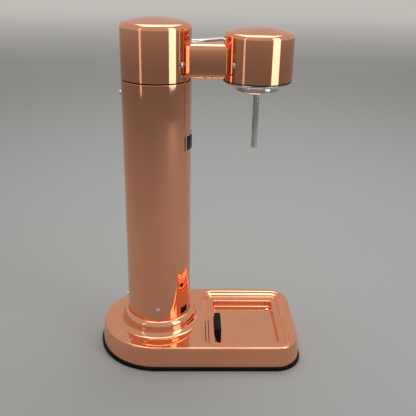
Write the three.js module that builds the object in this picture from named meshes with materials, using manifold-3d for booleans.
// Sparkling water maker: pressed base with a drip recess, column with its gas cylinder,
// cap with the lever work and gas valve, arm, and filling head with its nozzle.
// Millimetres, +Z up. The origin is the centre of the footprint, on the table.
import * as THREE from "three";
import { mergeVertices } from "three/addons/utils/BufferGeometryUtils.js";
import Module from "manifold-3d";

const wasm = await Module();
wasm.setup();

// Fits and cuts
const gap = 0.3;
const overrun = 5;
const leastRound = 0.2;
const weldDistance = 0.0001;

// Base
const baseLength = 258;
const baseWidth = 153;
const baseCorner = 34;
const baseTop = 31.3;
const footHeight = 5;
const footLip = 6;
const footProud = 2;
const footRound = 1;
const shellDraft = 2.5;
const shellEdge = 2;
const shellWall = 1.4;
const plateThickness = 2;
const plateHoleRadius = 34;
const postRadius = 3.4;

// Round collar pressed up from the base around the column
const collarHeight = 18.7;
const collarRadius = 46.9;
const collarRound = 6.3;
const collarFillet = 7;

// Drip recess in the base
const recessRim = 8;
const recessEndRim = 10.5;
const recessLand = 6;
const recessCorner = 12;
const recessRound = 1.2;
const rimSlope = 1.1;
const rimDrop = 2.5;
const landWidth = 2.8;
const landDrop = 0.6;
const stepDraft = 1.1;
const ledgeDrop = 5.3;
const ledgeWidth = 6.4;
const ledgeFarWidth = 10.4;
const ledgeRound = 0.8;
const recessDepth = 13.3;
const recessDraft = 1.7;
const recessScrewInset = 4.9;
const recessScrewSideInset = 8.8;
const barWidth = 8.4;
const barLength = 39.7;
const barHeight = 11.9;
const barSetback = 1.4;
const barMiddle = -9;
const barRound = 1.6;

// Column
const columnRadius = 40;
const columnWall = 1.4;
const columnHeight = 346.4;
const seam = 1.6;
const seamInset = 0.7;
const ringWall = 5;
const ringRim = 4.6;
const ringFloor = 4;
const footScrewHeight = 66;
const ringTopMargin = 7;
const backScrewDrop = 16.4;

// Badge plate, left plain
const badgeHeight = 20;
const badgeDrop = 69.4;
const badgeHalfAngle = 34;
const badgeThickness = 1.1;
const badgeFaceThickness = 0.5;
const badgeBorder = 1.4;
const badgeCorner = 1.6;

// Gas cylinder and its valve
const cylinderRadius = 30;
const cylinderWall = 3.2;
const cylinderLift = 9;
const cylinderFootRound = 8;
const cylinderShoulder = 26;
const cylinderNeckRadius = 14.5;
const cylinderNeckLength = 12;
const valveCollarRadius = 13;
const valveCollarHeight = 8;
const valvePlugRadius = 8;
const valvePlugLength = 14;
const valveThreadRadius = 10.5;
const valveClearance = 1;
const valveRecessRadius = 3.4;
const valveRecessDepth = 4;
const stemRadius = 1.5;
const stemLength = 12;
const stemDrop = 0.5;

// Valve frame in the cap
const skirtDrop = 28;
const skirtWall = 4;
const deckDrop = 6;
const deckRise = 5;
const grooveDepth = 2.6;
const bossRadius = 17;
const socketDrop = 12;
const socketDepth = 22;
const bossRise = 18;
const sealThickness = 1.4;
const sealHoleRadius = 3.2;
const earThickness = 5;
const earRim = 3;
const screwPostRadius = 4.5;
const screwPostMargin = 5;

// Lever work
const hingeRise = 37.8;
const leverSwing = 32;
const valveTravel = 2.5;
const shaftRadius = 4;
const shaftCollarRadius = 7;
const shaftCollarThickness = 2.5;
const bushWall = 2;
const bushFlange = 2;
const bushFlangeThickness = 1;
const camRadius = 11;
const camWidth = 12;
const pinRadius = 2.5;
const pinHeadRadius = 6;
const pinHeadThickness = 3;
const pinSealWire = 1;
const leverThickness = 4.4;
const leverWidth = 10;
const leverRound = 2;
const leverSide = 21;
const leverHubRadius = 9;
const leverBendInset = 1.5;
const leverBendLead = 22;
const leverHeadClearance = 2;
const leverPastHead = 33;
const slotClearance = 0.8;
const springWire = 0.9;
const springTurns = 4;
const springClearance = 1.4;
const pinSpringWire = 0.45;
const pinSpringTurns = 3;

// Cap
const capHeight = 66;
const capWall = 1.4;
const domeRise = 4.8;
const domeEdge = 6;
const sideScrewRise = 19;
const capScrewAngle = -43;
const capFarScrewAngle = 92;

// Arm
const armWidth = 26.4;
const armHeight = 38.1;
const armLift = 0.6;
const armCorner = 5.7;
const armWall = 1.4;
const armInsert = 2.5;
const bracketFloor = 3;
const bracketSide = 2.5;
const bracketHeight = 22;
const bracketBolt = 7;
const bracketBoltFront = 4.2;
const hoseRadius = 3.4;
const hoseBore = 1.8;
const hoseSag = 2;
const hoseBelowBoss = 5;
const fittingHex = 5.5;
const fittingHexLength = 4;
const fittingShankRadius = 3;
const fittingShankLength = 6;
const fittingBarbLength = 8;

// Filling head
const headReach = 114.4;
const headRadius = 39.5;
const headHeight = 57.4;
const headWall = 1.4;
const headDomeRise = 5.5;
const headDomeEdge = 5;
const headScrewAngle = 136;
const flangeThickness = 2.8;
const flangeInset = 0.2;
const flangeRound = 2.2;
const gasketInset = 0.6;
const gasketWidth = 5;
const bottleCollarRadius = 25.2;
const bottleCollarHeight = 8.3;
const bottleCollarChamfer = 1.4;
const bottleGrooveDepth = 0.5;
const sleeveRadius = 23.4;
const sleeveHeight = 6.4;
const neckRadius = 21;
const headDeckThickness = 5;
const chamberRadius = 20.3;
const chamberHeight = 4;
const chamberWall = 4;
const headBossRadius = 15;
const headBossHeight = 24;
const neckSealThickness = 2.6;
const neckSealHoleRadius = 12.5;
const nozzleRadius = 3.6;
const nozzleDrop = 82.2;
const nozzleBore = 1.6;
const nozzleJet = 0.7;
const nozzleSeat = 7;
const nutRadius = 6.4;
const nutHeight = 4;
const valveReach = 9.4;
const valveBoreRadius = 3;
const valveFloor = 3;
const valvePort = 1.2;
const poppetHeight = 3;
const plugHexRadius = 4.5;
const plugHexHeight = 2.6;
const plugShankLength = 4;
const valveSpringWire = 0.35;
const valveSpringTurns = 3;

// Fasteners
const screwHeadRadius = 2.6;
const screwHeadHeight = 1.6;
const screwShankRadius = 1.4;
const screwShankLength = 5;
const backScrewHeadRadius = 3.1;
const backScrewHeadHeight = 2.1;
const boltHeadRadius = 3.6;
const boltHeadHeight = 2.2;
const boltShankRadius = 1.8;
const boltShankLength = 5.2;
const leverScrewHeadRadius = 5.4;
const leverScrewShankLength = 8;

// Steps round a full turn, and along each curve
const roundSteps = 32;
const cylinderSteps = 24;
const smallSteps = 12;
const screwSteps = 8;
const hexSides = 6;
const edgeSteps = 2;
const domeSteps = 3;
const domeEdgeSteps = 3;
const insideSteps = 2;
const filletSteps = 2;
const cornerSteps = 4;
const bendSteps = 8;
const hoseSides = 8;
const hoseSteps = 8;
const wireSides = 5;
const stepsPerTurn = 8;

// Outline shares of a button head and of a rounded tip, each as radius and height
const buttonShares = [[1, 0], [1, 0.45], [0.66, 1], [0, 1]];
const tipShares = [[0.45, 0], [0.8, 0.16], [0.95, 0.45], [1, 1]];
const socketWidthShare = 0.52;
const socketDepthShare = 0.62;

// Places worked out from the sizes
const fullTurn = Math.PI * 2;
const quarterTurn = Math.PI / 2;
const columnX = (baseWidth - baseLength) / 2;
const headX = columnX + headReach;
const plateBottom = footHeight + gap;
const plateTop = plateBottom + plateThickness;
const shellBottom = footHeight + gap;
const topInset = footProud + shellDraft;
const recessLeft = columnX + collarRadius + collarFillet + recessLand;
const recessRight = baseLength / 2 - topInset - recessEndRim;
const recessHalf = baseWidth / 2 - topInset - recessRim;
const ledgeTop = baseTop - ledgeDrop;
const recessFloor = baseTop - recessDepth;
const stepInset = rimSlope + landWidth + stepDraft;
const ledgeInset = stepInset + ledgeWidth;
const ledgeFarInset = stepInset + ledgeFarWidth;
const floorInset = ledgeInset + ledgeRound + recessDraft;
const floorFarInset = ledgeFarInset + ledgeRound + recessDraft;
const columnBore = columnRadius - columnWall;
const backScrewHeight = columnHeight - backScrewDrop;
const badgeMiddle = columnHeight - badgeDrop;
const ringFloorTop = plateTop + gap + ringFloor;
const ringRadius = columnBore - gap;
const tubeBottom = ringFloorTop + gap;
const capBottom = columnHeight + seam;
const capTop = capBottom + capHeight;
const capBore = columnRadius - capWall;
const frameRadius = Math.min(columnBore, capBore) - gap;
const deckBottom = capBottom - deckDrop;
const deckTop = capBottom + deckRise;
const socketMouth = capBottom - socketDrop;
const socketTop = socketMouth + socketDepth;
const bossTop = capBottom + bossRise;
const valveTop = socketTop - gap - sealThickness - gap;
const neckTop = socketMouth - valveClearance - valveCollarHeight - gap;
const stemTop = valveTop - stemDrop;
const hingeZ = capBottom + hingeRise;
const swing = THREE.MathUtils.degToRad(leverSwing);
const camThrow = valveTravel / (2 * Math.sin(swing / 2));
const camAhead = camThrow * Math.cos(swing / 2);
const camAbove = camThrow * Math.sin(swing / 2);
const hingeX = -camAhead;
const pinTop = hingeZ + camAbove - camRadius - gap;
const pinHeadBottom = pinTop - pinHeadThickness;
const pinBottom = stemTop + gap;
const sealRadius = pinRadius + gap + 2 * pinSealWire;
const earInner = camWidth / 2 + gap;
const earOuter = earInner + earThickness;
const bushRadius = shaftRadius + gap + bushWall;
const earRadius = bushRadius + gap + earRim;
const bushOuter = earOuter + gap + bushFlangeThickness;
const hubInner = bushOuter + gap;
const hubOuter = leverSide + leverWidth / 2;
const leverOutY = headRadius + leverHeadClearance + leverWidth / 2;
const leverBendStart = columnRadius - leverBendInset;
const leverBendEnd = headReach - leverBendLead;
const leverEnd = headReach + leverPastHead;
const armBottom = capBottom + armLift;
const armMiddle = armBottom + armHeight / 2;
const armStart = Math.sqrt(columnRadius ** 2 - (armWidth / 2) ** 2) - armInsert;
const armEnd = headReach - Math.sqrt(headRadius ** 2 - (armWidth / 2) ** 2) + armInsert;
const bracketSkin = armWall + gap;
const bracketBottom = armBottom + bracketSkin;
const bracketHalf = armWidth / 2 - bracketSkin;
const bracketStart = bossRadius + gap;
const chamberOuter = chamberRadius + chamberWall;
const bracketEnd = headReach - Math.max(chamberOuter, sleeveRadius + gap + chamberWall) - gap;
const rearBoltX = bracketStart + bracketBolt;
const frontBoltX = bracketEnd - bracketBoltFront;
const screwHeight = capBottom + sideScrewRise;
const flangeTop = capBottom - seam;
const flangeBottom = flangeTop - flangeThickness;
const gasketBottom = flangeTop + gap;
const gasketTop = capBottom - gap;
const headFrameRadius = headRadius - headWall - gap;
const gasketRadius = headRadius - gasketInset;
const headBossInner = gasketRadius - gasketWidth - gap;
const collarTop = flangeBottom - gap;
const sleeveTop = collarTop + sleeveHeight;
const chamberTop = sleeveTop + gap + chamberHeight;
const chamberLid = chamberTop + chamberWall;
const headBossTop = capBottom + headBossHeight;
const nozzleTip = capBottom - nozzleDrop;
const nozzleTop = chamberTop + nozzleSeat;
const nozzleRear = headBossTop - hoseBelowBoss;
const valveBoreFloor = chamberTop + valveFloor;
const hoseRear = bossTop - hoseBelowBoss;

// Finishes
const finishes = {
  copper: { color: 0xc67c5c, roughness: 0.1, metalness: 1 },
  steel: { color: 0xc9c9c6, roughness: 0.16, metalness: 1 },
  casting: { color: 0x9b9da0, roughness: 0.5, metalness: 0.9 },
  cylinder: { color: 0xb9bcc0, roughness: 0.35, metalness: 0.9 },
  brass: { color: 0xb08d4a, roughness: 0.3, metalness: 1 },
  bronze: { color: 0x8f6a3c, roughness: 0.4, metalness: 1 },
  rubber: { color: 0x0d0d0e, roughness: 0.75, metalness: 0 },
  badge: { color: 0x0b0b0c, roughness: 0.15, metalness: 0 },
  silicone: { color: 0xd8d8d4, roughness: 0.6, metalness: 0 },
  hose: { color: 0x2a2b2e, roughness: 0.55, metalness: 0 },
};

// Closed geometry to a solid, with its faces pointing out
function toSolid(geometry) {
  const bare = geometry.clone();
  bare.deleteAttribute("normal");
  bare.deleteAttribute("uv");
  const merged = mergeVertices(bare, weldDistance);
  const position = merged.attributes.position;
  const corners = [];
  let volume = 0;
  const [a, b, c] = [new THREE.Vector3(), new THREE.Vector3(), new THREE.Vector3()];
  for (let i = 0; i < merged.index.count; i += 3) {
    const [p, q, r] = [merged.index.getX(i), merged.index.getX(i + 1), merged.index.getX(i + 2)];
    if (p === q || q === r || r === p) continue;
    a.fromBufferAttribute(position, p);
    b.fromBufferAttribute(position, q);
    c.fromBufferAttribute(position, r);
    volume += a.dot(b.cross(c));
    corners.push([p, q, r]);
  }
  const outward = volume < 0 ? corners.map(([p, q, r]) => [p, r, q]) : corners;
  const mesh = new wasm.Mesh({
    numProp: 3,
    vertProperties: Float32Array.from(position.array),
    triVerts: Uint32Array.from(outward.flat()),
  });
  return new wasm.Manifold(mesh);
}

// Solid back to a geometry
function toGeometry(solid) {
  const mesh = solid.getMesh();
  const geometry = new THREE.BufferGeometry();
  geometry.setAttribute("position", new THREE.BufferAttribute(mesh.vertProperties, 3));
  geometry.setIndex(new THREE.BufferAttribute(mesh.triVerts, 1));
  geometry.computeVertexNormals();
  return geometry;
}

// Join, cut and common part of closed geometries
function joined(first, ...others) {
  return toGeometry(others.reduce((solid, other) => solid.add(toSolid(other)), toSolid(first)));
}

function cut(body, ...tools) {
  return toGeometry(tools.reduce((solid, tool) => solid.subtract(toSolid(tool)), toSolid(body)));
}

function common(first, second) {
  return toGeometry(toSolid(first).intersect(toSolid(second)));
}

// Revolve about Z of a profile of radius and height pairs
function turned(profile, steps = roundSteps) {
  const points = profile.map(([radius, height]) => new THREE.Vector2(radius, height));
  const [first, last] = [points[0], points[points.length - 1]];
  if (first.x > 0 || last.x > 0) points.push(first.clone());
  return new THREE.LatheGeometry(points, steps).rotateX(quarterTurn);
}

function rod(radius, bottom, top, steps = smallSteps) {
  return turned([[0, bottom], [radius, bottom], [radius, top], [0, top]], steps);
}

function ring(outer, inner, bottom, top, steps = roundSteps) {
  return turned([[inner, bottom], [outer, bottom], [outer, top], [inner, top]], steps);
}

function hexBar(radius, bottom, top) {
  return rod(radius, bottom, top, hexSides);
}

function block(low, high) {
  const size = high.map((value, i) => value - low[i]);
  const middle = high.map((value, i) => (value + low[i]) / 2);
  return new THREE.BoxGeometry(...size).translate(...middle);
}

function prism(shape, bottom, top) {
  const settings = { depth: top - bottom, bevelEnabled: false, curveSegments: cornerSteps };
  return new THREE.ExtrudeGeometry(shape, settings).translate(0, 0, bottom);
}

// Turn of local +Z to +X or +Y, or out from the Z axis at an angle in degrees
function towardX(geometry) {
  return geometry.rotateY(quarterTurn);
}

function towardY(geometry) {
  return geometry.rotateX(-quarterTurn);
}

function outward(geometry, angle, height) {
  return towardX(geometry).rotateZ(THREE.MathUtils.degToRad(angle)).translate(0, 0, height);
}

// Prism along X of a shape drawn in Y and Z
function prismAlongX(shape, start, end) {
  const axes = new THREE.Matrix4().makeBasis(
    new THREE.Vector3(0, 1, 0),
    new THREE.Vector3(0, 0, 1),
    new THREE.Vector3(1, 0, 0),
  );
  return prism(shape, start, end).applyMatrix4(axes);
}

function arcPoints(x, y, radius, from, to, steps) {
  return Array.from({ length: steps + 1 }, (_, i) => {
    const angle = from + ((to - from) * i) / steps;
    return new THREE.Vector2(x + radius * Math.cos(angle), y + radius * Math.sin(angle));
  });
}

// Rounded rectangle as points, counter-clockwise from above
function rectanglePoints(x0, x1, y0, y1, radius) {
  return [
    ...arcPoints(x1 - radius, y0 + radius, radius, -quarterTurn, 0, cornerSteps),
    ...arcPoints(x1 - radius, y1 - radius, radius, 0, quarterTurn, cornerSteps),
    ...arcPoints(x0 + radius, y1 - radius, radius, quarterTurn, Math.PI, cornerSteps),
    ...arcPoints(x0 + radius, y0 + radius, radius, Math.PI, quarterTurn * 3, cornerSteps),
  ];
}

// Outline of the base, drawn in from the footprint: half round at the column, square at the front
function basePoints(inset) {
  const half = baseWidth / 2 - inset;
  const corner = baseCorner - inset;
  const front = baseLength / 2 - inset - corner;
  return [
    ...arcPoints(columnX, 0, half, quarterTurn, quarterTurn * 3, roundSteps / 2),
    ...arcPoints(front, corner - half, corner, -quarterTurn, 0, cornerSteps * 2),
    ...arcPoints(front, half - corner, corner, 0, quarterTurn, cornerSteps * 2),
  ];
}

// Loft through outlines of equal point counts, from the lowest to the highest
function lofted(levels) {
  const count = levels[0].points.length;
  const positions = levels.flatMap(({ points, z }) => points.flatMap((p) => [p.x, p.y, z]));
  const faces = [];
  for (let level = 0; level + 1 < levels.length; level += 1) {
    for (let i = 0; i < count; i += 1) {
      const next = (i + 1) % count;
      const [a, b] = [level * count + i, level * count + next];
      const [c, d] = [(level + 1) * count + i, (level + 1) * count + next];
      faces.push(a, b, d, a, d, c);
    }
  }
  const lastStart = (levels.length - 1) * count;
  const lid = THREE.ShapeUtils.triangulateShape(levels[levels.length - 1].points, []);
  const floor = THREE.ShapeUtils.triangulateShape(levels[0].points, []);
  lid.forEach(([p, q, r]) => faces.push(lastStart + p, lastStart + q, lastStart + r));
  floor.forEach(([p, q, r]) => faces.push(p, r, q));
  const geometry = new THREE.BufferGeometry();
  geometry.setAttribute("position", new THREE.Float32BufferAttribute(positions, 3));
  geometry.setIndex(faces);
  return geometry;
}

// Helical wire about Z between two heights
class Helix extends THREE.Curve {
  constructor(radius, bottom, top, turns) {
    super();
    Object.assign(this, { radius, bottom, top, turns });
  }

  getPoint(t, target = new THREE.Vector3()) {
    const angle = fullTurn * this.turns * t;
    const height = this.bottom + (this.top - this.bottom) * t;
    return target.set(this.radius * Math.cos(angle), this.radius * Math.sin(angle), height);
  }
}

// Least clear space between a coil's own turns, measured on points along its wire
function coilGap(curve, wire) {
  const points = curve.getPoints(curve.turns * stepsPerTurn);
  let least = Infinity;
  points.forEach((point, i) => {
    const start = i + stepsPerTurn / 2;
    points.slice(start).forEach((other) => {
      least = Math.min(least, point.distanceTo(other) - 2 * wire);
    });
  });
  return least;
}

function coilSpring(name, radius, wire, bottom, top, turns) {
  const curve = new Helix(radius, bottom + wire, top - wire, turns);
  console.log(`${name}: least gap to itself ${coilGap(curve, wire).toFixed(2)} mm`);
  const section = new THREE.Shape(arcPoints(0, 0, wire, 0, fullTurn, wireSides).slice(0, -1));
  const steps = turns * stepsPerTurn;
  return new THREE.ExtrudeGeometry(section, { steps, extrudePath: curve, bevelEnabled: false });
}

// Button-head screw along Z: its seat is at zero, its head stands above and its shank goes down
function buttonScrew(headRadius, headHeight, shankRadius, shankLength) {
  const head = buttonShares.map(([r, h]) => [r * headRadius, gap + h * headHeight]);
  return turned([[0, -shankLength], [shankRadius, -shankLength], [shankRadius, gap], ...head], screwSteps);
}

// The same screw with its hexagon socket
function socketScrew(headRadius, headHeight, shankRadius, shankLength) {
  const socketFloor = gap + headHeight * (1 - socketDepthShare);
  const socket = hexBar(headRadius * socketWidthShare, socketFloor, gap + headHeight + overrun);
  return cut(buttonScrew(headRadius, headHeight, shankRadius, shankLength), socket);
}

function sideScrew() {
  return socketScrew(screwHeadRadius, screwHeadHeight, screwShankRadius, screwShankLength);
}

// Radial hole for a side screw, from inside its post out through the shell
function sideHole(radius, angle, height) {
  const depth = radius - screwShankLength - gap;
  return outward(rod(screwShankRadius + gap, depth, radius + overrun, screwSteps), angle, height);
}

// Named mesh with its own copy of a finish
function mesh(name, geometry, finish) {
  const material = new THREE.MeshStandardMaterial(finishes[finish]);
  const piece = new THREE.Mesh(toGeometry(toSolid(geometry)), material);
  piece.name = name;
  return piece;
}

// Mesh of a screw whose head points out from the Z axis at an angle in degrees
function radialScrew(name, geometry, radius, angle, height) {
  const piece = mesh(name, geometry, "steel");
  const turn = THREE.MathUtils.degToRad(angle);
  const out = new THREE.Vector3(Math.cos(turn), Math.sin(turn), 0);
  piece.quaternion.setFromUnitVectors(new THREE.Vector3(0, 0, 1), out);
  piece.position.copy(out).multiplyScalar(radius).setZ(height);
  return piece;
}

// Base

const frontPostShare = 0.62;
const frontPost = baseLength / 2 - footLip - screwHeadRadius - gap;
const platePosts = [
  [frontPost, recessHalf * frontPostShare],
  [frontPost, -recessHalf * frontPostShare],
  [recessLeft - recessLand, recessHalf],
  [recessLeft - recessLand, -recessHalf],
];
const recessScrewPlace = [
  recessRight - floorInset - recessScrewInset,
  recessHalf - floorFarInset - recessScrewSideInset,
];

function rubberFoot() {
  const body = lofted([
    { points: basePoints(footRound), z: 0 },
    { points: basePoints(0), z: footRound },
    { points: basePoints(0), z: footHeight - footRound },
    { points: basePoints(footRound), z: footHeight },
  ]);
  const inside = basePoints(footLip);
  const middle = lofted([
    { points: inside, z: -overrun },
    { points: inside, z: footHeight + overrun },
  ]);
  return cut(body, middle);
}

// Skin of the base at a depth below its outer surface, with its rounded top edge
function baseSkin(depth, bottom) {
  const edge = Math.max(shellEdge - depth, leastRound);
  const top = baseTop - depth;
  const rims = [...new Set([bottom, shellBottom])];
  const levels = rims.map((z) => ({ points: basePoints(footProud + depth), z }));
  const steps = depth > 0 ? 1 : edgeSteps;
  for (let i = 0; i <= steps; i += 1) {
    const angle = (quarterTurn * i) / steps;
    const inset = topInset + depth + edge * (1 - Math.cos(angle));
    levels.push({ points: basePoints(inset), z: top - edge * (1 - Math.sin(angle)) });
  }
  return lofted(levels);
}

// Drip recess grown by a skin, from its floor up past the top of the base.
// Its ledge is wider at the far side.
function recessBody(skin, top) {
  const steps = [
    [floorInset, floorFarInset, recessFloor],
    [ledgeInset + ledgeRound, ledgeFarInset + ledgeRound, ledgeTop - ledgeRound],
    [ledgeInset, ledgeFarInset, ledgeTop],
    [stepInset, stepInset, ledgeTop],
    [rimSlope + landWidth, rimSlope + landWidth, baseTop - rimDrop - landDrop],
    [rimSlope, rimSlope, baseTop - rimDrop],
    [0, 0, baseTop - recessRound],
    [-recessRound, -recessRound, baseTop],
    [-recessRound, -recessRound, top + skin],
  ];
  const levels = steps.map(([inset, farInset, height]) => {
    const corner = recessCorner - inset / 2 + skin;
    const points = rectanglePoints(
      recessLeft + inset - skin,
      recessRight - inset + skin,
      inset - recessHalf - skin,
      recessHalf - farInset + skin,
      corner,
    );
    return { points, z: height - skin };
  });
  return lofted(levels);
}

// Round collar about the column, with a concave fillet below and a round edge above
function collarBody() {
  const top = baseTop + collarHeight;
  const foot = arcPoints(
    collarRadius + collarFillet,
    baseTop + collarFillet,
    collarFillet,
    -quarterTurn,
    -Math.PI,
    filletSteps,
  );
  const browAt = [collarRadius - collarRound, top - collarRound];
  const brow = arcPoints(...browAt, collarRound, 0, quarterTurn, filletSteps);
  const under = baseTop - shellWall;
  const profile = [...foot, ...brow].map((point) => [point.x, point.y]);
  return turned([[0, under], [collarRadius + collarFillet, under], ...profile, [0, top]]);
}

function baseShell() {
  const under = baseTop - shellWall;
  const skin = cut(baseSkin(0, shellBottom), baseSkin(shellWall, shellBottom - overrun));
  const collar = collarBody().translate(columnX, 0, 0);
  const pan = recessBody(shellWall, baseTop - shellWall);
  const posts = platePosts.map(([x, y]) => {
    const post = rod(postRadius, plateTop + gap, under + shellWall / 2);
    return post.translate(x, y, 0);
  });
  const bores = platePosts.map(([x, y]) => {
    const depth = plateBottom + screwShankLength + gap;
    return rod(screwShankRadius + gap, plateTop - overrun, depth + gap, screwSteps).translate(x, y, 0);
  });
  const columnHole = rod(columnRadius + gap, -overrun, capBottom, roundSteps);
  const screwHole = rod(screwShankRadius + gap, plateTop, baseTop, screwSteps);
  return cut(
    joined(skin, collar, pan, ...posts),
    recessBody(0, baseTop + overrun),
    columnHole.translate(columnX, 0, 0),
    screwHole.translate(...recessScrewPlace, 0),
    ...bores,
  );
}

function bottomPlate() {
  const points = basePoints(footProud + shellWall + 2 * gap);
  const sheet = lofted([
    { points, z: plateBottom },
    { points, z: plateTop },
  ]);
  const spacerTop = recessFloor - shellWall - gap;
  const spacer = rod(postRadius + shellWall, plateTop - plateThickness / 2, spacerTop);
  const cylinderHole = rod(plateHoleRadius, -overrun, capBottom, roundSteps).translate(columnX, 0, 0);
  const spacerDepth = recessFloor - screwShankLength - gap;
  const spacerBore = rod(screwShankRadius + gap, spacerDepth, recessFloor, screwSteps);
  const screwHoles = platePosts.map(([x, y]) =>
    rod(screwShankRadius + gap, -overrun, plateTop + overrun, screwSteps).translate(x, y, 0));
  return cut(
    joined(sheet, spacer.translate(...recessScrewPlace, 0)),
    cylinderHole,
    spacerBore.translate(...recessScrewPlace, 0),
    ...screwHoles,
  );
}

// Bar on the recess floor, with a back that leans with the drafted wall behind it
function recessBar() {
  const half = barLength / 2;
  const back = recessLeft + ledgeInset + barSetback;
  const front = back + barWidth;
  const top = recessFloor + barHeight;
  const outline = (left, inset) => rectanglePoints(
    left + inset,
    front - inset,
    barMiddle - half + inset,
    barMiddle + half - inset,
    barRound,
  );
  return lofted([
    { points: outline(recessLeft + floorInset + gap, 0), z: recessFloor + gap },
    { points: outline(back + ledgeRound, 0), z: ledgeTop - ledgeRound },
    { points: outline(back, 0), z: ledgeTop },
    { points: outline(back, 0), z: top - barRound / 2 },
    { points: outline(back, barRound / 2), z: top },
  ]);
}

function makeBase() {
  const group = new THREE.Group();
  group.add(mesh("base_shell", baseShell(), "copper"));
  group.add(mesh("rubber_foot", rubberFoot(), "rubber"));
  group.add(mesh("bottom_plate", bottomPlate(), "steel"));
  group.add(mesh("recess_bar", recessBar(), "rubber"));
  const recessScrew = mesh("recess_screw", sideScrew(), "steel");
  recessScrew.position.set(...recessScrewPlace, recessFloor);
  group.add(recessScrew);
  platePosts.forEach(([x, y], i) => {
    const shape = buttonScrew(screwHeadRadius, screwHeadHeight, screwShankRadius, screwShankLength);
    const screw = mesh(`bottom_screw_${i + 1}`, shape, "steel");
    screw.rotation.x = Math.PI;
    screw.position.set(x, y, plateBottom);
    group.add(screw);
  });
  return group;
}

// Column, in its own frame about the column axis

const footScrewAngles = { back: 180, near: -90, far: 90 };

function columnTube() {
  const angles = Object.values(footScrewAngles);
  const holes = angles.map((angle) => sideHole(columnRadius, angle, footScrewHeight));
  const backHole = sideHole(columnRadius, footScrewAngles.back, backScrewHeight);
  return cut(ring(columnRadius, columnBore, tubeBottom, columnHeight), backHole, ...holes);
}

// Foot ring: the tube stands in its groove and is screwed to its sleeve, and its rim is held
// between the bottom plate and the base's skin
function tubeFootRing() {
  const inner = ringRadius - ringWall;
  const flange = columnRadius + gap + ringRim;
  const profile = [
    [inner, plateTop + gap],
    [flange, plateTop + gap],
    [flange, baseTop - shellWall - gap],
    [columnRadius + gap, baseTop - shellWall - gap],
    [columnRadius + gap, ringFloorTop],
    [ringRadius, ringFloorTop],
    [ringRadius, footScrewHeight + ringTopMargin],
    [inner, footScrewHeight + ringTopMargin],
  ];
  const angles = Object.values(footScrewAngles);
  const holes = angles.map((angle) => sideHole(columnRadius, angle, footScrewHeight));
  return cut(turned(profile), ...holes);
}

// Curved plate about the Z axis, with rounded corners as seen from the front
function curvedPlate(inner, outer, halfAngle, height, corner) {
  const sector = [
    ...arcPoints(0, 0, outer, -halfAngle, halfAngle, bendSteps),
    ...arcPoints(0, 0, inner, halfAngle, -halfAngle, bendSteps),
  ];
  const half = outer * Math.sin(halfAngle);
  const face = rectanglePoints(-half, half, badgeMiddle - height / 2, badgeMiddle + height / 2, corner);
  const bar = prism(new THREE.Shape(sector), badgeMiddle - height, badgeMiddle + height);
  return common(bar, prismAlongX(new THREE.Shape(face), 0, outer + overrun));
}

function badgeFrame() {
  const halfAngle = THREE.MathUtils.degToRad(badgeHalfAngle);
  const inner = columnRadius + gap;
  const outer = inner + badgeThickness;
  const border = badgeBorder / inner;
  const body = curvedPlate(inner, outer, halfAngle, badgeHeight, badgeCorner);
  const windowHeight = badgeHeight - 2 * badgeBorder;
  const window = curvedPlate(inner / 2, outer * 2, halfAngle - border, windowHeight, badgeCorner / 2);
  return cut(body, window);
}

function badgeFace() {
  const halfAngle = THREE.MathUtils.degToRad(badgeHalfAngle);
  const inner = columnRadius + gap;
  const reach = halfAngle - (badgeBorder + gap) / inner;
  const height = badgeHeight - 2 * (badgeBorder + gap);
  return curvedPlate(inner, inner + badgeFaceThickness, reach, height, badgeCorner / 2);
}

function gasCylinder() {
  const wall = cylinderWall;
  const bodyTop = neckTop - cylinderNeckLength - cylinderShoulder;
  const foot = (radius, z) => {
    const round = cylinderFootRound;
    return arcPoints(radius - round, z + round, round, -quarterTurn, 0, filletSteps);
  };
  const shoulder = (radius, neck, from) => Array.from({ length: domeSteps + 1 }, (_, i) => {
    const t = (quarterTurn * i) / domeSteps;
    return new THREE.Vector2(neck + (radius - neck) * Math.cos(t), from + cylinderShoulder * Math.sin(t));
  });
  const outside = [
    ...foot(cylinderRadius, cylinderLift),
    ...shoulder(cylinderRadius, cylinderNeckRadius, bodyTop),
  ];
  const neckBore = valvePlugRadius + gap;
  const inside = [
    ...foot(cylinderRadius - wall, cylinderLift + wall),
    ...shoulder(cylinderRadius - wall, neckBore, bodyTop - wall),
  ].reverse();
  const profile = [
    [0, cylinderLift],
    ...outside.map((point) => [point.x, point.y]),
    [cylinderNeckRadius, neckTop],
    [neckBore, neckTop],
    ...inside.map((point) => [point.x, point.y]),
    [0, cylinderLift + wall],
  ];
  return turned(profile, cylinderSteps);
}

// Brass valve of the cylinder: plug in the neck, collar, and the neck that goes into the socket
function cylinderValve() {
  const collarBottom = neckTop + gap;
  const collarTopEdge = collarBottom + valveCollarHeight;
  const stemBore = stemRadius + gap;
  const recessBottom = valveTop - valveRecessDepth;
  const boreBottom = stemTop - stemLength - valveTravel - gap;
  const profile = [
    [0, collarBottom - valvePlugLength],
    [valvePlugRadius, collarBottom - valvePlugLength],
    [valvePlugRadius, collarBottom],
    [valveCollarRadius, collarBottom],
    [valveCollarRadius, collarTopEdge],
    [valveThreadRadius, collarTopEdge],
    [valveThreadRadius, valveTop - pinSealWire],
    [valveThreadRadius - pinSealWire, valveTop],
    [valveRecessRadius, valveTop],
    [valveRecessRadius, recessBottom],
    [stemBore, recessBottom],
    [stemBore, boreBottom],
    [0, boreBottom],
  ];
  return turned(profile, smallSteps);
}

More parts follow.
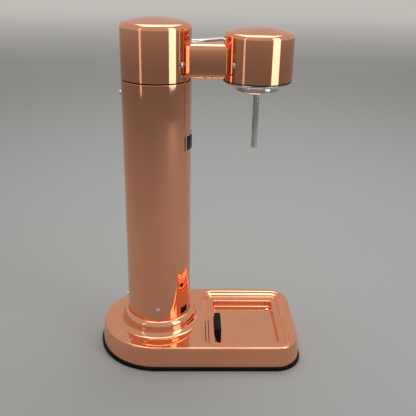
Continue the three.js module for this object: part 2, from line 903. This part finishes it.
function makeColumn() {
  const group = new THREE.Group();
  group.position.x = columnX;
  group.add(mesh("column_tube", columnTube(), "copper"));
  group.add(mesh("tube_foot_ring", tubeFootRing(), "casting"));
  Object.entries(footScrewAngles).forEach(([side, angle]) => {
    group.add(radialScrew(`foot_screw_${side}`, sideScrew(), columnRadius, angle, footScrewHeight));
  });
  const backScrew = socketScrew(
    backScrewHeadRadius,
    backScrewHeadHeight,
    screwShankRadius,
    screwShankLength,
  );
  group.add(radialScrew("back_screw", backScrew, columnRadius, footScrewAngles.back, backScrewHeight));
  group.add(mesh("badge_frame", badgeFrame(), "steel"));
  group.add(mesh("badge_face", badgeFace(), "badge"));
  group.add(mesh("gas_cylinder", gasCylinder(), "cylinder"));
  group.add(mesh("cylinder_valve", cylinderValve(), "brass"));
  const stem = rod(stemRadius, stemTop - stemLength, stemTop, screwSteps);
  group.add(mesh("cylinder_stem", stem, "steel"));
  return group;
}

// Cap and lever work, in the frame of the column axis

// Section of the arm in Y and Z, grown by an amount
function armShape(grow) {
  const half = armWidth / 2 + grow;
  const corner = Math.max(armCorner + grow, leastRound);
  const [low, high] = [armBottom - grow, armBottom + armHeight + grow];
  return new THREE.Shape(rectanglePoints(-half, half, low, high, corner));
}

// Way for the arm through a shell, open at the shell's lower rim
function armNotch(from, to) {
  const hole = prismAlongX(armShape(gap), from, to);
  const half = armWidth / 2 + gap;
  return joined(hole, block([from, -half, capBottom - overrun], [to, half, armMiddle]));
}

// Domed shell: straight side, small round edge and shallow dome, at a depth below its surface
function domeProfile(radius, top, rise, edge, edgeCount, domeCount) {
  const slope = 2 * Math.atan(rise / (radius - edge));
  const start = quarterTurn - slope;
  const startRadius = radius - edge + edge * Math.cos(start);
  const sphere = startRadius / Math.cos(start);
  const centre = top - sphere;
  const edgeMiddle = centre + sphere * Math.sin(start) - edge * Math.sin(start);
  const round = arcPoints(radius - edge, edgeMiddle, edge, 0, start, edgeCount);
  const dome = arcPoints(0, centre, sphere, start, quarterTurn, domeCount).slice(1);
  const points = [...round, ...dome].map((point) => [point.x, point.y]);
  points[points.length - 1][0] = 0;
  return points;
}

function domedShell(radius, wall, top, rise, edge) {
  const outside = domeProfile(radius, top, rise, edge, domeEdgeSteps, domeSteps);
  const innerEdge = Math.max(edge - wall, leastRound);
  const inside = domeProfile(radius - wall, top - wall, rise, innerEdge, edgeSteps, insideSteps);
  const solid = turned([[0, capBottom], [radius, capBottom], ...outside]);
  const hollow = turned([[0, capBottom - overrun], [radius - wall, capBottom - overrun], ...inside]);
  return cut(solid, hollow);
}

// Slot that the lever swings in
function leverSlot() {
  const inner = leverSide - leverWidth / 2 - slotClearance;
  const outer = leverSide + leverWidth / 2 + slotClearance;
  const wallAhead = Math.sqrt(columnRadius ** 2 - inner ** 2) - hingeX;
  const top = hingeZ + leverThickness / 2 + slotClearance;
  const sweep = wallAhead * Math.tan(swing) + leverThickness / (2 * Math.cos(swing));
  const bottom = hingeZ - sweep - slotClearance;
  const shape = new THREE.Shape(rectanglePoints(inner, outer, bottom, top, leverRound));
  return prismAlongX(shape, leverHubRadius, columnRadius + overrun);
}

function capShell() {
  return cut(
    domedShell(columnRadius, capWall, capTop, domeRise, domeEdge),
    armNotch(bossRadius, columnRadius + overrun),
    leverSlot(),
    sideHole(columnRadius, capScrewAngle, screwHeight),
    sideHole(columnRadius, capFarScrewAngle, screwHeight),
  );
}

function seamRing() {
  const inner = frameRadius - grooveDepth + gap;
  return ring(columnRadius - seamInset, inner, columnHeight + gap, capBottom - gap);
}

// Post that a side screw goes into
function screwPost(reach, angle, bottom) {
  const turn = THREE.MathUtils.degToRad(angle);
  const post = rod(screwPostRadius, bottom, screwHeight + screwPostMargin);
  return post.translate(reach * Math.cos(turn), reach * Math.sin(turn), 0);
}

// Ear that carries the lever shaft, between two places along Y
function ear(from, to) {
  const top = towardY(rod(earRadius, from, to, smallSteps)).translate(hingeX, 0, hingeZ);
  const foot = block(
    [hingeX - earRadius, from, deckTop - deckRise / 2],
    [hingeX + earRadius, to, hingeZ],
  );
  return joined(top, foot);
}

function valveFrame() {
  const skirtBottom = capBottom - skirtDrop;
  const skirt = ring(frameRadius, frameRadius - skirtWall, skirtBottom, deckBottom + deckRise / 2);
  const deck = rod(frameRadius, deckBottom, deckTop, roundSteps);
  const boss = rod(bossRadius, socketMouth, bossTop, cylinderSteps);
  const postAt = frameRadius - screwPostRadius;
  const body = joined(
    skirt,
    deck,
    boss,
    ear(earInner, earOuter),
    ear(-earOuter, -earInner),
    screwPost(postAt, capScrewAngle, deckBottom),
    screwPost(postAt, capFarScrewAngle, deckBottom),
  );
  const grooveFloor = frameRadius - grooveDepth;
  const groove = ring(columnRadius + overrun, grooveFloor, columnHeight - gap, capBottom + gap);
  const socket = rod(valveThreadRadius + gap, socketMouth - overrun, socketTop, cylinderSteps);
  const pinBore = rod(pinRadius + gap, socketTop - overrun, hingeZ, smallSteps);
  const sealMiddle = (socketTop + bossTop) / 2;
  const sealHalf = pinSealWire + gap;
  const sealGroove = rod(sealRadius + gap, sealMiddle - sealHalf, sealMiddle + sealHalf, smallSteps);
  const bracketSeat = block(
    [bracketStart - gap, -bracketHalf - gap, bracketBottom - gap],
    [columnRadius + overrun, bracketHalf + gap, hingeZ],
  );
  const armSeat = prismAlongX(armShape(gap), armStart - gap, columnRadius + overrun);
  const bolt = boltBore().translate(rearBoltX, 0, 0);
  const fittingDepth = bossRadius - fittingShankLength - gap;
  const fittingBore = towardX(rod(fittingShankRadius + gap, fittingDepth, bossRadius + overrun));
  const channel = towardX(rod(hoseBore, 0, bossRadius, screwSteps)).translate(0, 0, hoseRear);
  const bushBore = towardY(rod(bushRadius + gap, -earOuter - overrun, earOuter + overrun));
  return cut(
    body,
    groove,
    socket,
    pinBore,
    sealGroove,
    bracketSeat,
    armSeat,
    bolt,
    fittingBore.translate(0, 0, hoseRear),
    channel,
    bushBore.translate(hingeX, 0, hingeZ),
    sideHole(columnRadius, footScrewAngles.back, backScrewHeight),
    sideHole(columnRadius, capScrewAngle, screwHeight),
    sideHole(columnRadius, capFarScrewAngle, screwHeight),
  );
}

// O-ring about the valve pin
function pinSeal() {
  const middle = (socketTop + bossTop) / 2;
  const inner = pinRadius + gap;
  const centre = (inner + sealRadius) / 2;
  const section = arcPoints(centre, middle, pinSealWire, 0, fullTurn, stepsPerTurn);
  return turned(section.slice(0, -1).map((point) => [point.x, point.y]), smallSteps);
}

function bush() {
  const bore = shaftRadius + gap;
  const profile = [
    [bore, earInner],
    [bushRadius, earInner],
    [bushRadius, earOuter + gap],
    [bushRadius + bushFlange, earOuter + gap],
    [bushRadius + bushFlange, bushOuter],
    [bore, bushOuter],
  ];
  return towardY(turned(profile, smallSteps));
}

function leverCam() {
  const body = towardY(rod(camRadius, -camWidth / 2, camWidth / 2, roundSteps));
  const bore = towardY(rod(shaftRadius + gap, -camWidth, camWidth));
  return cut(body.translate(camAhead, 0, camAbove), bore);
}

// Shaft with its collar at the near end; the spring sits between the collar and the near bush
function leverShaft() {
  const springEnd = -hubOuter;
  const profile = [
    [0, springEnd - shaftCollarThickness],
    [shaftCollarRadius, springEnd - shaftCollarThickness],
    [shaftCollarRadius, springEnd],
    [shaftRadius, springEnd],
    [shaftRadius, hubOuter],
    [screwShankRadius + gap, hubOuter],
    [screwShankRadius + gap, hubOuter - leverScrewShankLength - gap],
    [0, hubOuter - leverScrewShankLength - gap],
  ];
  return towardY(turned(profile, smallSteps));
}

function returnSpring() {
  const radius = shaftRadius + springClearance + springWire;
  const [low, high] = [bushOuter + gap, hubOuter - gap];
  const coil = coilSpring("return_spring", radius, springWire, low, high, springTurns);
  return coil.rotateX(quarterTurn);
}

// Plan line of the lever: straight out of the slot, an S bend round the head, then straight
function leverLine() {
  const line = [new THREE.Vector2(hingeX, leverSide)];
  for (let i = 0; i <= bendSteps; i += 1) {
    const t = i / bendSteps;
    const ease = t * t * (3 - 2 * t);
    const x = leverBendStart + (leverBendEnd - leverBendStart) * t;
    line.push(new THREE.Vector2(x, leverSide + (leverOutY - leverSide) * ease));
  }
  line.push(new THREE.Vector2(leverEnd - leverWidth / 2, leverOutY));
  return line;
}

// Lever: flat bar with full round edges, and the hub that it turns the shaft with
function lever() {
  const line = leverLine();
  const half = leverWidth / 2;
  const side = (sign) => line.map((point, i) => {
    const before = line[Math.max(i - 1, 0)];
    const after = line[Math.min(i + 1, line.length - 1)];
    const along = after.clone().sub(before).normalize();
    return new THREE.Vector2(point.x + sign * half * along.y, point.y - sign * half * along.x);
  });
  const tip = line[line.length - 1];
  const end = arcPoints(tip.x, tip.y, half, -quarterTurn, quarterTurn, stepsPerTurn).slice(1, -1);
  const outline = [...side(1), ...end, ...side(-1).reverse()];
  const settings = {
    depth: leverThickness - 2 * leverRound,
    bevelEnabled: true,
    bevelThickness: leverRound,
    bevelSize: leverRound,
    bevelOffset: -leverRound,
    bevelSegments: edgeSteps,
  };
  const bar = new THREE.ExtrudeGeometry(new THREE.Shape(outline), settings);
  bar.translate(-hingeX, 0, leverRound - leverThickness / 2);
  const hub = towardY(rod(leverHubRadius, hubInner, hubOuter, smallSteps));
  const bore = towardY(rod(shaftRadius + gap, hubInner - overrun, hubOuter + overrun, smallSteps));
  return cut(joined(bar, hub), bore);
}

function valvePin() {
  const profile = [
    [0, pinBottom],
    [pinRadius, pinBottom],
    [pinRadius, pinHeadBottom],
    [pinHeadRadius, pinHeadBottom],
    [pinHeadRadius, pinTop],
    [0, pinTop],
  ];
  return turned(profile, smallSteps);
}

function hoseFitting() {
  const hexEnd = gap + fittingHexLength;
  const shank = rod(fittingShankRadius, -fittingShankLength, gap + fittingHexLength / 2, screwSteps);
  const barb = rod(hoseBore - gap, hexEnd - fittingHexLength / 2, hexEnd + fittingBarbLength, screwSteps);
  return joined(hexBar(fittingHex, gap, hexEnd), shank, barb);
}

function makeCap() {
  const group = new THREE.Group();
  group.position.x = columnX;
  group.add(mesh("cap_shell", capShell(), "copper"));
  group.add(mesh("cap_seam_ring", seamRing(), "rubber"));
  group.add(mesh("valve_frame", valveFrame(), "casting"));
  const sealBottom = valveTop + gap;
  const sealTop = sealBottom + sealThickness;
  const cylinderSeal = ring(valveThreadRadius, sealHoleRadius, sealBottom, sealTop, smallSteps);
  group.add(mesh("cylinder_seal", cylinderSeal, "rubber"));
  group.add(mesh("pin_seal", pinSeal(), "rubber"));
  group.add(mesh("valve_pin", valvePin(), "steel"));
  const pinCoil = pinRadius + pinSpringWire + springClearance / 2;
  const [low, high] = [bossTop + gap, pinHeadBottom - gap];
  const pinSpring = coilSpring("pin_spring", pinCoil, pinSpringWire, low, high, pinSpringTurns);
  group.add(mesh("pin_spring", pinSpring, "steel"));
  group.add(radialScrew("cap_screw_near", sideScrew(), columnRadius, capScrewAngle, screwHeight));
  group.add(radialScrew("cap_screw_far", sideScrew(), columnRadius, capFarScrewAngle, screwHeight));
  const rearFitting = mesh("rear_fitting", towardX(hoseFitting()), "brass");
  rearFitting.position.set(bossRadius, 0, hoseRear);
  group.add(rearFitting);
  group.add(makeLeverWork());
  return group;
}

// Pieces on the lever shaft, in the frame of its axis
function makeLeverWork() {
  const group = new THREE.Group();
  group.position.set(hingeX, 0, hingeZ);
  group.add(mesh("lever_shaft", leverShaft(), "steel"));
  group.add(mesh("lever_cam", leverCam(), "steel"));
  group.add(mesh("lever", lever(), "steel"));
  group.add(mesh("return_spring", returnSpring(), "steel"));
  group.add(mesh("bush_far", bush(), "bronze"));
  const nearBush = mesh("bush_near", bush(), "bronze");
  nearBush.rotation.z = Math.PI;
  group.add(nearBush);
  const screw = buttonScrew(
    leverScrewHeadRadius,
    boltHeadHeight,
    screwShankRadius,
    leverScrewShankLength,
  );
  const leverScrew = mesh("lever_screw", towardY(screw), "steel");
  leverScrew.position.y = hubOuter;
  group.add(leverScrew);
  return group;
}

// Arm, in the frame of the column axis

function boltBore() {
  const seat = bracketBottom + bracketFloor;
  return rod(boltShankRadius + gap, seat - boltShankLength - gap, seat + overrun, screwSteps);
}

function armBracket() {
  const body = prismAlongX(armShape(-bracketSkin), bracketStart, bracketEnd);
  const inner = bracketHalf - bracketSide;
  const hollow = block(
    [bracketStart - overrun, -inner, bracketBottom + bracketFloor],
    [bracketEnd + overrun, inner, hingeZ + overrun],
  );
  const above = block(
    [bracketStart - overrun, -armWidth, bracketBottom + bracketHeight],
    [bracketEnd + overrun, armWidth, capTop],
  );
  const rearBolt = boltBore().translate(rearBoltX, 0, 0);
  const frontBolt = boltBore().translate(frontBoltX, 0, 0);
  return cut(body, hollow, above, rearBolt, frontBolt);
}

// Hose along the arm, pushed over the barbs of both fittings
function gasHose() {
  const start = bossRadius + gap + fittingHexLength + gap;
  const end = headReach - headBossRadius - gap - fittingHexLength - gap;
  const lead = fittingBarbLength + gap;
  const middleZ = (hoseRear + nozzleRear) / 2 - hoseSag;
  const path = new THREE.CatmullRomCurve3([
    new THREE.Vector3(start, 0, hoseRear),
    new THREE.Vector3(start + lead, 0, hoseRear),
    new THREE.Vector3((start + end) / 2, 0, middleZ),
    new THREE.Vector3(end - lead, 0, nozzleRear),
    new THREE.Vector3(end, 0, nozzleRear),
  ]);
  const section = new THREE.Shape(arcPoints(0, 0, hoseRadius, 0, fullTurn, hoseSides).slice(0, -1));
  const bore = arcPoints(0, 0, hoseBore, fullTurn, 0, hoseSides).slice(0, -1);
  section.holes.push(new THREE.Path(bore));
  const settings = { steps: hoseSteps, extrudePath: path, bevelEnabled: false };
  return new THREE.ExtrudeGeometry(section, settings);
}

function makeArm() {
  const group = new THREE.Group();
  group.position.x = columnX;
  const bore = prismAlongX(armShape(-armWall), armStart - overrun, armEnd + overrun);
  group.add(mesh("arm_tube", cut(prismAlongX(armShape(0), armStart, armEnd), bore), "copper"));
  group.add(mesh("arm_bracket", armBracket(), "casting"));
  const boltPlaces = { rear: rearBoltX, front: frontBoltX };
  Object.entries(boltPlaces).forEach(([end, x]) => {
    const screw = buttonScrew(boltHeadRadius, boltHeadHeight, boltShankRadius, boltShankLength);
    const bolt = mesh(`arm_bolt_${end}`, screw, "steel");
    bolt.position.set(x, 0, bracketBottom + bracketFloor);
    group.add(bolt);
  });
  group.add(mesh("gas_hose", gasHose(), "hose"));
  return group;
}

// Filling head, in its own frame about the nozzle axis

const valveAngles = { relief: 60, vent: -60 };
const armSide = -headReach;

function headShell() {
  return cut(
    domedShell(headRadius, headWall, capBottom + headHeight, headDomeRise, headDomeEdge),
    armNotch(-headRadius - overrun, -headBossRadius),
    sideHole(headRadius, headScrewAngle, screwHeight),
    sideHole(headRadius, -headScrewAngle, screwHeight),
  );
}

function atValve(geometry, kind) {
  const turn = THREE.MathUtils.degToRad(valveAngles[kind]);
  return geometry.translate(valveReach * Math.cos(turn), valveReach * Math.sin(turn), 0);
}

function headFrame() {
  const postAt = headFrameRadius - screwPostRadius;
  const deckLid = capBottom + headDeckThickness;
  const body = joined(
    rod(headFrameRadius, capBottom, deckLid, roundSteps),
    rod(headBossInner, gasketBottom, deckLid, roundSteps),
    rod(chamberOuter, capBottom, chamberLid, cylinderSteps),
    rod(headBossRadius, capBottom, headBossTop, cylinderSteps),
    screwPost(postAt, headScrewAngle, capBottom),
    screwPost(postAt, -headScrewAngle, capBottom),
  );
  const bracketSeat = block(
    [-headRadius - overrun, -bracketHalf - gap, bracketBottom - gap],
    [bracketEnd + gap + armSide, bracketHalf + gap, hingeZ],
  );
  const armSeat = prismAlongX(armShape(gap), -headRadius - overrun, armEnd + gap + armSide);
  const bores = Object.keys(valveAngles).flatMap((kind) => [
    atValve(rod(valveBoreRadius, valveBoreFloor, headBossTop + overrun), kind),
    atValve(rod(valvePort, chamberTop - overrun, valveBoreFloor + overrun, screwSteps), kind),
  ]);
  const fittingDepth = fittingShankLength + gap - headBossRadius;
  const fittingBore = towardX(rod(fittingShankRadius + gap, -headBossRadius - overrun, fittingDepth));
  return cut(
    body,
    rod(sleeveRadius + gap, gasketBottom - overrun, sleeveTop + gap, cylinderSteps),
    rod(chamberRadius, gasketBottom - overrun, chamberTop, cylinderSteps),
    rod(nozzleRadius + gap, chamberTop - overrun, nozzleTop + gap),
    rod(nozzleBore, chamberTop, nozzleRear + nozzleBore, screwSteps),
    towardX(rod(nozzleBore, -headBossRadius, 0, screwSteps)).translate(0, 0, nozzleRear),
    fittingBore.translate(0, 0, nozzleRear),
    bracketSeat,
    armSeat,
    boltBore().translate(frontBoltX + armSide, 0, 0),
    ...bores,
    sideHole(headRadius, headScrewAngle, screwHeight),
    sideHole(headRadius, -headScrewAngle, screwHeight),
  );
}

function headFlange() {
  const outer = headRadius - flangeInset;
  const edgeAt = [outer - flangeRound, flangeBottom + flangeRound];
  const edge = arcPoints(...edgeAt, flangeRound, -quarterTurn, 0, filletSteps);
  return turned([
    [sleeveRadius + gap, flangeBottom],
    ...edge.map((point) => [point.x, point.y]),
    [outer, flangeTop],
    [sleeveRadius + gap, flangeTop],
  ]);
}

// Collar that the bottle's neck goes into, with its sleeve up through the flange
function bottleCollar() {
  const bottom = collarTop - bottleCollarHeight;
  const band = (collarTop + bottom) / 2;
  const groove = bottleGrooveDepth;
  return turned([
    [neckRadius + groove, bottom],
    [bottleCollarRadius - bottleCollarChamfer, bottom],
    [bottleCollarRadius, bottom + bottleCollarChamfer],
    [bottleCollarRadius, band - groove],
    [bottleCollarRadius - groove, band],
    [bottleCollarRadius, band + groove],
    [bottleCollarRadius, collarTop],
    [sleeveRadius, collarTop],
    [sleeveRadius, sleeveTop],
    [neckRadius, sleeveTop],
    [neckRadius, bottom + groove],
  ], cylinderSteps);
}

function nozzleTube() {
  const tip = tipShares.map(([r, h]) => [r * nozzleRadius, nozzleTip + h * nozzleRadius]);
  const throat = nozzleTip + nozzleRadius;
  return turned([
    [nozzleJet, nozzleTip],
    ...tip,
    [nozzleRadius, nozzleTop],
    [nozzleBore, nozzleTop],
    [nozzleBore, throat + nozzleBore],
    [nozzleJet, throat],
  ], smallSteps);
}

function hexPlug(bottom) {
  const shank = rod(valveBoreRadius - gap, bottom, headBossTop + gap + plugHexHeight / 2);
  return joined(hexBar(plugHexRadius, headBossTop + gap, headBossTop + gap + plugHexHeight), shank);
}

// Relief and vent valves: poppet, spring and plug in each bore of the head frame
function makeValves() {
  const group = new THREE.Group();
  const poppetRadius = valveBoreRadius - gap;
  const plugBottom = headBossTop - plugShankLength;
  const coil = poppetRadius - valveSpringWire;
  const seat = valveBoreFloor + gap;
  const spring = (name, low, high) =>
    coilSpring(name, coil, valveSpringWire, low, high, valveSpringTurns);
  const reliefTop = seat + poppetHeight;
  const reliefSpring = spring("relief_spring", reliefTop + gap, plugBottom - gap);
  const ventTop = plugBottom - gap;
  const ventBottom = ventTop - poppetHeight;
  const ventSpring = spring("vent_spring", seat, ventBottom - gap);
  group.add(mesh("relief_poppet", atValve(rod(poppetRadius, seat, reliefTop), "relief"), "brass"));
  group.add(mesh("relief_spring", atValve(reliefSpring, "relief"), "steel"));
  group.add(mesh("relief_plug", atValve(hexPlug(plugBottom), "relief"), "brass"));
  group.add(mesh("vent_poppet", atValve(rod(poppetRadius, ventBottom, ventTop), "vent"), "brass"));
  group.add(mesh("vent_spring", atValve(ventSpring, "vent"), "steel"));
  group.add(mesh("vent_plug", atValve(hexPlug(plugBottom), "vent"), "brass"));
  return group;
}

function makeHead() {
  const group = new THREE.Group();
  group.position.x = headX;
  group.add(mesh("head_shell", headShell(), "copper"));
  group.add(mesh("head_frame", headFrame(), "casting"));
  const gasket = ring(gasketRadius, gasketRadius - gasketWidth, gasketBottom, gasketTop);
  group.add(mesh("head_gasket", gasket, "rubber"));
  group.add(mesh("head_flange", headFlange(), "steel"));
  group.add(mesh("bottle_collar", bottleCollar(), "steel"));
  const sealTop = chamberTop - gap;
  const sealBottom = sealTop - neckSealThickness;
  const neckSeal = ring(chamberRadius - gap, neckSealHoleRadius, sealBottom, sealTop, cylinderSteps);
  group.add(mesh("neck_seal", neckSeal, "silicone"));
  group.add(mesh("nozzle_tube", nozzleTube(), "steel"));
  const nutBore = rod(nozzleRadius + gap, flangeTop, headBossTop);
  const nut = cut(hexBar(nutRadius, sealTop - nutHeight, sealTop), nutBore);
  group.add(mesh("nozzle_nut", nut, "steel"));
  const frontFitting = mesh("front_fitting", towardX(hoseFitting()).rotateZ(Math.PI), "brass");
  frontFitting.position.set(-headBossRadius, 0, nozzleRear);
  group.add(frontFitting);
  group.add(radialScrew("head_screw_near", sideScrew(), headRadius, -headScrewAngle, screwHeight));
  group.add(radialScrew("head_screw_far", sideScrew(), headRadius, headScrewAngle, screwHeight));
  group.add(makeValves());
  return group;
}

const maker = new THREE.Group();
maker.add(makeBase(), makeColumn(), makeCap(), makeArm(), makeHead());
export default maker;
